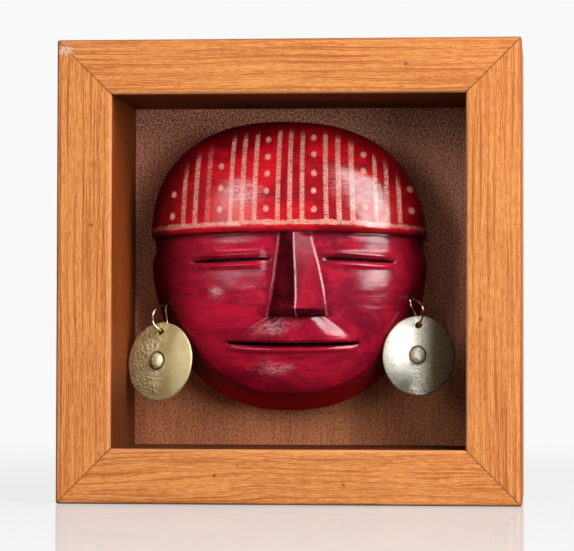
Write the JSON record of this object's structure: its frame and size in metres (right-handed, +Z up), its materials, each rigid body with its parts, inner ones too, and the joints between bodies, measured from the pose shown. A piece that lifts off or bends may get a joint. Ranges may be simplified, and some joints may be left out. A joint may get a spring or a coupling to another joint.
{
  "type": "framed miniature mask",
  "caption": "Small carved and painted wooden folk mask with hanging brass ear discs, glued into a deep mitred box frame that stands upright.",
  "frame": {"origin": "middle of the frame's underside, at half its depth", "axes": "+X to the right seen from the front, +Y towards the back, +Z up; the mask faces -Y"},
  "size_m": [0.16, 0.064, 0.16],
  "materials": {
    "frame_wood": "orange-brown softwood under a clear satin finish",
    "panel_wood": "dark brown stained veneer with a fine upright grain",
    "painted_wood": "glossy crimson paint, worn to mauve on the high places, with peach stripes and dots on the cap",
    "brass": "pale cast brass, satin and pitted"
  },
  "bodies": {
    "root": {"rail_top": "frame_wood", "rail_bottom": "frame_wood", "rail_left": "frame_wood", "rail_right": "frame_wood", "back_panel": "panel_wood", "mask": "painted_wood", "ear_disc_left": "brass", "ear_disc_right": "brass", "ear_wire_left": "brass", "ear_wire_right": "brass"}
  },
  "joints": []
}
